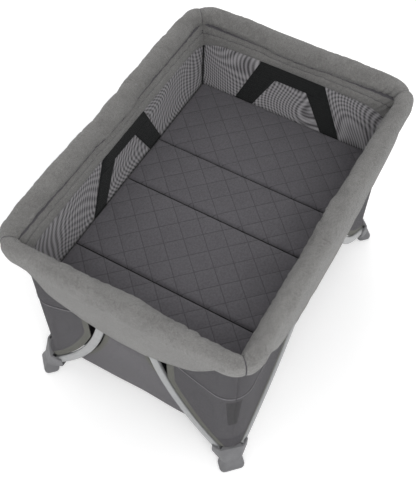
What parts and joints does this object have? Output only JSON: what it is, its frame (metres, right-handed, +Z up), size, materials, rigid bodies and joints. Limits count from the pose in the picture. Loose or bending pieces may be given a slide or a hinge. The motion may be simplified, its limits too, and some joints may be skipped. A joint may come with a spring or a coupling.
{
  "type": "playpen",
  "caption": "Folding travel cot with a raised mattress, padded rails, curved splayed legs, corner feet and mesh sides.",
  "frame": {"origin": "middle of the footprint at floor level", "axes": "+X along the long side, +Y across the cot towards the back long side, +Z up"},
  "size_m": [1.151, 0.829, 0.807],
  "materials": {
    "rim_fabric": "melange woven",
    "mesh_fabric": "open mesh",
    "dark_fabric": "plain weave",
    "mattress_fabric": "quilted",
    "tube_metal": "satin",
    "grey_plastic": "matte",
    "black_plastic": "matte",
    "sole_rubber": "matte"
  },
  "bodies": {
    "floor_hub": {"floor_hub": "grey_plastic"},
    "release_handle": {"release_handle": "black_plastic"},
    "front_hub": {"front_hub": "black_plastic", "front_skirt": "rim_fabric", "front_wall": "mesh_fabric"},
    "right_hub": {"right_hub": "black_plastic", "right_skirt": "rim_fabric", "right_wall": "mesh_fabric"},
    "back_hub": {"back_hub": "black_plastic", "back_skirt": "rim_fabric", "back_wall": "mesh_fabric"},
    "left_hub": {"left_hub": "black_plastic", "left_skirt": "rim_fabric", "left_wall": "mesh_fabric"},
    "front_left_leg": {"front_left_leg": "tube_metal"},
    "front_left_foot": {"front_left_foot": "grey_plastic", "front_left_sole": "sole_rubber", "front_left_corner_panel": "dark_fabric"},
    "front_left_rail": {"front_left_rail": "tube_metal", "front_left_pad": "rim_fabric"},
    "front_right_leg": {"front_right_leg": "tube_metal"},
    "front_right_foot": {"front_right_foot": "grey_plastic", "front_right_sole": "sole_rubber", "front_right_corner_panel": "dark_fabric"},
    "front_right_rail": {"front_right_rail": "tube_metal", "front_right_pad": "rim_fabric"},
    "back_left_leg": {"back_left_leg": "tube_metal"},
    "back_left_foot": {"back_left_foot": "grey_plastic", "back_left_sole": "sole_rubber", "back_left_corner_panel": "dark_fabric"},
    "back_left_rail": {"back_left_rail": "tube_metal", "back_left_pad": "rim_fabric"},
    "back_right_leg": {"back_right_leg": "tube_metal"},
    "back_right_foot": {"back_right_foot": "grey_plastic", "back_right_sole": "sole_rubber", "back_right_corner_panel": "dark_fabric"},
    "back_right_rail": {"back_right_rail": "tube_metal", "back_right_pad": "rim_fabric"},
    "left_front_leg": {"left_front_leg": "tube_metal"},
    "left_front_rail": {"left_front_rail": "tube_metal", "left_front_pad": "rim_fabric"},
    "left_back_leg": {"left_back_leg": "tube_metal"},
    "left_back_rail": {"left_back_rail": "tube_metal", "left_back_pad": "rim_fabric"},
    "lower_floor_left": {"lower_floor_left": "dark_fabric"},
    "bassinet_floor_left": {"bassinet_floor_left": "dark_fabric"},
    "right_front_leg": {"right_front_leg": "tube_metal"},
    "right_front_rail": {"right_front_rail": "tube_metal", "right_front_pad": "rim_fabric"},
    "right_back_leg": {"right_back_leg": "tube_metal"},
    "right_back_rail": {"right_back_rail": "tube_metal", "right_back_pad": "rim_fabric"},
    "lower_floor_right": {"lower_floor_right": "dark_fabric"},
    "bassinet_floor_right": {"bassinet_floor_right": "dark_fabric"},
    "mattress_panel_1": {"mattress_panel_1": "mattress_fabric"},
    "mattress_panel_2": {"mattress_panel_2": "mattress_fabric"},
    "mattress_panel_3": {"mattress_panel_3": "mattress_fabric"},
    "mattress_panel_4": {"mattress_panel_4": "mattress_fabric"}
  },
  "joints": [
    {"name": "frame_fold", "type": "slide", "parent": "floor_hub", "child": "front_hub", "axis": [0, 0.884, 0.4676], "range_m": [0, 0.26019], "deforming": ["front_skirt", "front_wall", "right_skirt", "right_wall", "back_skirt", "back_wall", "left_skirt", "left_wall", "front_left_corner_panel", "front_left_pad", "front_right_corner_panel", "front_right_pad", "back_left_corner_panel", "back_left_pad", "back_right_corner_panel", "back_right_pad", "left_front_pad", "left_back_pad", "lower_floor_left", "bassinet_floor_left", "right_front_pad", "right_back_pad", "lower_floor_right", "bassinet_floor_right", "mattress_panel_1", "mattress_panel_2", "mattress_panel_3", "mattress_panel_4"]},
    {"name": "back_hub_slide", "type": "slide", "parent": "floor_hub", "child": "back_hub", "axis": [0, -0.884, 0.4676], "range_m": [0, 0.26069]},
    {"name": "front_left_leg_swing", "type": "hinge", "parent": "front_hub", "child": "front_left_leg", "pos_m": [-0.075, -0.372, 0.69], "axis": [0, -1, 0], "range_deg": [0, 32.14]},
    {"name": "front_left_foot_level", "type": "hinge", "parent": "front_left_leg", "child": "front_left_foot", "pos_m": [-0.478, -0.372, 0.085], "axis": [0, 1, 0], "range_deg": [0, 32.14]},
    {"name": "front_left_rail_fold", "type": "hinge", "parent": "front_hub", "child": "front_left_rail", "pos_m": [-0.035, -0.394, 0.745], "axis": [0, -1, 0], "range_deg": [0, 88.05]},
    {"name": "front_right_leg_swing", "type": "hinge", "parent": "front_hub", "child": "front_right_leg", "pos_m": [0.075, -0.372, 0.69], "axis": [0, 1, 0], "range_deg": [0, 32.14]},
    {"name": "front_right_foot_level", "type": "hinge", "parent": "front_right_leg", "child": "front_right_foot", "pos_m": [0.478, -0.372, 0.085], "axis": [0, -1, 0], "range_deg": [0, 32.14]},
    {"name": "front_right_rail_fold", "type": "hinge", "parent": "front_hub", "child": "front_right_rail", "pos_m": [0.035, -0.394, 0.745], "axis": [0, 1, 0], "range_deg": [0, 88.05]},
    {"name": "back_left_leg_swing", "type": "hinge", "parent": "back_hub", "child": "back_left_leg", "pos_m": [-0.075, 0.372, 0.69], "axis": [0, -1, 0], "range_deg": [0, 32.14]},
    {"name": "back_left_foot_level", "type": "hinge", "parent": "back_left_leg", "child": "back_left_foot", "pos_m": [-0.478, 0.372, 0.085], "axis": [0, 1, 0], "range_deg": [0, 32.14]},
    {"name": "back_left_rail_fold", "type": "hinge", "parent": "back_hub", "child": "back_left_rail", "pos_m": [-0.035, 0.394, 0.745], "axis": [0, -1, 0], "range_deg": [0, 88.05]},
    {"name": "back_right_leg_swing", "type": "hinge", "parent": "back_hub", "child": "back_right_leg", "pos_m": [0.075, 0.372, 0.69], "axis": [0, 1, 0], "range_deg": [0, 32.14]},
    {"name": "back_right_foot_level", "type": "hinge", "parent": "back_right_leg", "child": "back_right_foot", "pos_m": [0.478, 0.372, 0.085], "axis": [0, -1, 0], "range_deg": [0, 32.14]},
    {"name": "back_right_rail_fold", "type": "hinge", "parent": "back_hub", "child": "back_right_rail", "pos_m": [0.035, 0.394, 0.745], "axis": [0, 1, 0], "range_deg": [0, 88.05]},
    {"name": "left_front_leg_swing", "type": "hinge", "parent": "front_left_foot", "child": "left_front_leg", "pos_m": [-0.533, -0.312, 0.085], "axis": [1, 0, 0], "range_deg": [0, 20.77]},
    {"name": "left_hub_level", "type": "hinge", "parent": "left_front_leg", "child": "left_hub", "pos_m": [-0.533, -0.065, 0.69], "axis": [-1, 0, 0], "range_deg": [0, 20.77]},
    {"name": "left_back_leg_swing", "type": "hinge", "parent": "left_hub", "child": "left_back_leg", "pos_m": [-0.533, 0.065, 0.69], "axis": [-1, 0, 0], "range_deg": [0, 20.77]},
    {"name": "left_front_rail_fold", "type": "hinge", "parent": "left_hub", "child": "left_front_rail", "pos_m": [-0.555, -0.03, 0.768], "axis": [1, 0, 0], "range_deg": [0, 88.05]},
    {"name": "left_back_rail_fold", "type": "hinge", "parent": "left_hub", "child": "left_back_rail", "pos_m": [-0.555, 0.03, 0.768], "axis": [-1, 0, 0], "range_deg": [0, 88.05]},
    {"name": "bassinet_floor_left_fold", "type": "hinge", "parent": "left_hub", "child": "bassinet_floor_left", "pos_m": [-0.487, 0, 0.486], "axis": [0, 1, 0], "range_deg": [0, 88.05]},
    {"name": "lower_floor_left_fold", "type": "hinge", "parent": "floor_hub", "child": "lower_floor_left", "pos_m": [-0.062, 0, 0.095], "axis": [0, 1, 0], "range_deg": [0, 88.05]},
    {"name": "right_front_leg_swing", "type": "hinge", "parent": "front_right_foot", "child": "right_front_leg", "pos_m": [0.533, -0.312, 0.085], "axis": [1, 0, 0], "range_deg": [0, 20.77]},
    {"name": "right_hub_level", "type": "hinge", "parent": "right_front_leg", "child": "right_hub", "pos_m": [0.533, -0.065, 0.69], "axis": [-1, 0, 0], "range_deg": [0, 20.77]},
    {"name": "right_back_leg_swing", "type": "hinge", "parent": "right_hub", "child": "right_back_leg", "pos_m": [0.533, 0.065, 0.69], "axis": [-1, 0, 0], "range_deg": [0, 20.77]},
    {"name": "right_front_rail_fold", "type": "hinge", "parent": "right_hub", "child": "right_front_rail", "pos_m": [0.555, -0.03, 0.768], "axis": [1, 0, 0], "range_deg": [0, 88.05]},
    {"name": "right_back_rail_fold", "type": "hinge", "parent": "right_hub", "child": "right_back_rail", "pos_m": [0.555, 0.03, 0.768], "axis": [-1, 0, 0], "range_deg": [0, 88.05]},
    {"name": "bassinet_floor_right_fold", "type": "hinge", "parent": "right_hub", "child": "bassinet_floor_right", "pos_m": [0.487, 0, 0.486], "axis": [0, -1, 0], "range_deg": [0, 88.05]},
    {"name": "lower_floor_right_fold", "type": "hinge", "parent": "floor_hub", "child": "lower_floor_right", "pos_m": [0.062, 0, 0.095], "axis": [0, -1, 0], "range_deg": [0, 88.05]},
    {"name": "mattress_lift", "type": "slide", "parent": "floor_hub", "child": "mattress_panel_3", "axis": [0, 0, 1], "range_m": [0, 0.702]},
    {"name": "mattress_crease_2", "type": "hinge", "parent": "mattress_panel_3", "child": "mattress_panel_2", "pos_m": [-0.015, 0, 0.514], "axis": [0, 1, 0], "range_deg": [0, 90]},
    {"name": "mattress_crease_1", "type": "hinge", "parent": "mattress_panel_2", "child": "mattress_panel_1", "pos_m": [-0.315, 0, 0.514], "axis": [0, 1, 0], "range_deg": [0, 90]},
    {"name": "mattress_crease_3", "type": "hinge", "parent": "mattress_panel_3", "child": "mattress_panel_4", "pos_m": [0.185, 0, 0.514], "axis": [0, -1, 0], "range_deg": [0, 90]},
    {"name": "release_pull", "type": "slide", "parent": "floor_hub", "child": "release_handle", "axis": [0, 0, 1], "range_m": [0, 0.02], "stiffness_N_per_m": 300}
  ],
  "couplings": [
    {"joint": "back_hub_slide", "follows": "frame_fold", "ratio": 1},
    {"joint": "front_left_leg_swing", "follows": "frame_fold", "rad_per_m": 2.1526},
    {"joint": "front_left_foot_level", "follows": "frame_fold", "rad_per_m": 2.1526},
    {"joint": "front_left_rail_fold", "follows": "frame_fold", "rad_per_m": 5.9029},
    {"joint": "front_right_leg_swing", "follows": "frame_fold", "rad_per_m": 2.1526},
    {"joint": "front_right_foot_level", "follows": "frame_fold", "rad_per_m": 2.1526},
    {"joint": "front_right_rail_fold", "follows": "frame_fold", "rad_per_m": 5.9029},
    {"joint": "back_left_leg_swing", "follows": "frame_fold", "rad_per_m": 2.1526},
    {"joint": "back_left_foot_level", "follows": "frame_fold", "rad_per_m": 2.1526},
    {"joint": "back_left_rail_fold", "follows": "frame_fold", "rad_per_m": 5.9029},
    {"joint": "back_right_leg_swing", "follows": "frame_fold", "rad_per_m": 2.1526},
    {"joint": "back_right_foot_level", "follows": "frame_fold", "rad_per_m": 2.1526},
    {"joint": "back_right_rail_fold", "follows": "frame_fold", "rad_per_m": 5.9029},
    {"joint": "left_front_leg_swing", "follows": "frame_fold", "rad_per_m": 1.3897},
    {"joint": "left_hub_level", "follows": "frame_fold", "rad_per_m": 1.3897},
    {"joint": "left_back_leg_swing", "follows": "frame_fold", "rad_per_m": 1.3897},
    {"joint": "left_front_rail_fold", "follows": "frame_fold", "rad_per_m": 5.9029},
    {"joint": "left_back_rail_fold", "follows": "frame_fold", "rad_per_m": 5.9029},
    {"joint": "bassinet_floor_left_fold", "follows": "frame_fold", "rad_per_m": 5.9029},
    {"joint": "lower_floor_left_fold", "follows": "frame_fold", "rad_per_m": 5.9029},
    {"joint": "right_front_leg_swing", "follows": "frame_fold", "rad_per_m": 1.3897},
    {"joint": "right_hub_level", "follows": "frame_fold", "rad_per_m": 1.3897},
    {"joint": "right_back_leg_swing", "follows": "frame_fold", "rad_per_m": 1.3897},
    {"joint": "right_front_rail_fold", "follows": "frame_fold", "rad_per_m": 5.9029},
    {"joint": "right_back_rail_fold", "follows": "frame_fold", "rad_per_m": 5.9029},
    {"joint": "bassinet_floor_right_fold", "follows": "frame_fold", "rad_per_m": 5.9029},
    {"joint": "lower_floor_right_fold", "follows": "frame_fold", "rad_per_m": 5.9029},
    {"joint": "mattress_lift", "follows": "frame_fold", "ratio": 2.6903}
  ]
}
